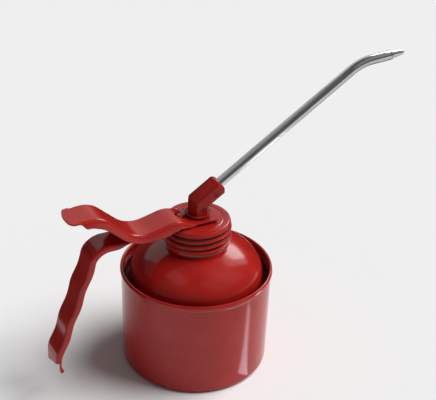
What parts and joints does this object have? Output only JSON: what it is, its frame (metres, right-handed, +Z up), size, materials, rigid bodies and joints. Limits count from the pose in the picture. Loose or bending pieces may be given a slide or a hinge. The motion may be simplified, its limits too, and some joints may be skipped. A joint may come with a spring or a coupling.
{
  "type": "lever oil can",
  "caption": "Red enamelled force-feed oil can: screw-on pump head, thumb lever, finger-grip handle and bent steel spout.",
  "frame": {"origin": "centre of the can's flat bottom", "axes": "+Z up along the pump's axis, +X towards the spout, lever and handle towards -X"},
  "size_m": [0.2487, 0.1, 0.1978],
  "materials": {
    "red_enamel": "gloss enamel",
    "red_zinc": "gloss enamel on a zinc casting",
    "bright_steel": "polished",
    "zinc_steel": "zinc plated",
    "brass": "turned",
    "rubber": "matt",
    "leather": "oiled"
  },
  "bodies": {
    "can": {"can_body": "red_enamel", "can_shoulder": "red_enamel"},
    "cap_seal": {"cap_gasket": "rubber"},
    "pump_head": {"screw_cap": "red_enamel", "handle": "red_enamel", "guide_stud": "red_enamel", "barrel_nut": "zinc_steel", "barrel_gasket": "leather", "pump_barrel": "brass", "rod_seal": "rubber", "spring_seat": "zinc_steel", "return_spring": "zinc_steel", "barrel_foot": "brass", "ball_retainer": "brass", "suction_tube": "brass"},
    "lever_body": {"lever": "red_enamel"},
    "plunger": {"piston_rod": "bright_steel", "piston": "brass", "piston_cup": "leather", "piston_nut": "brass", "spout_elbow": "red_zinc", "delivery_spring": "zinc_steel", "spout_tube": "bright_steel", "spout_nozzle": "bright_steel"},
    "foot_ball_body": {"foot_ball": "bright_steel"},
    "delivery_ball_body": {"delivery_ball": "bright_steel"}
  },
  "joints": [
    {"name": "cap_lift", "type": "slide", "parent": "can", "child": "cap_seal", "axis": [0, 0, 1], "range_m": [0, 0.0129]},
    {"name": "cap_turn", "type": "hinge", "parent": "cap_seal", "child": "pump_head", "pos_m": [0, 0, 0.1], "axis": [0, 0, 1], "range_deg": [0, 1081]},
    {"name": "lever_press", "type": "hinge", "parent": "pump_head", "child": "lever_body", "pos_m": [-0.03988, 0, 0.1066], "axis": [0, -1, 0], "range_deg": [0, 11.1]},
    {"name": "plunger_lift", "type": "slide", "parent": "pump_head", "child": "plunger", "axis": [0, 0, 1], "range_m": [0, 0.0082], "stiffness_N_per_m": 300, "springref_m": -0.012, "deforming": ["return_spring"]},
    {"name": "foot_ball_lift", "type": "slide", "parent": "pump_head", "child": "foot_ball_body", "axis": [0, 0, 1], "range_m": [0, 0.0015]},
    {"name": "delivery_ball_lift", "type": "slide", "parent": "plunger", "child": "delivery_ball_body", "axis": [0, 0, 1], "range_m": [0, 0.001], "stiffness_N_per_m": 20, "springref_m": -0.002, "deforming": ["delivery_spring"]}
  ],
  "couplings": [
    {"joint": "cap_turn", "follows": "cap_lift", "rad_per_m": 1461.2},
    {"joint": "lever_press", "follows": "plunger_lift", "rad_per_m": 23.42}
  ]
}
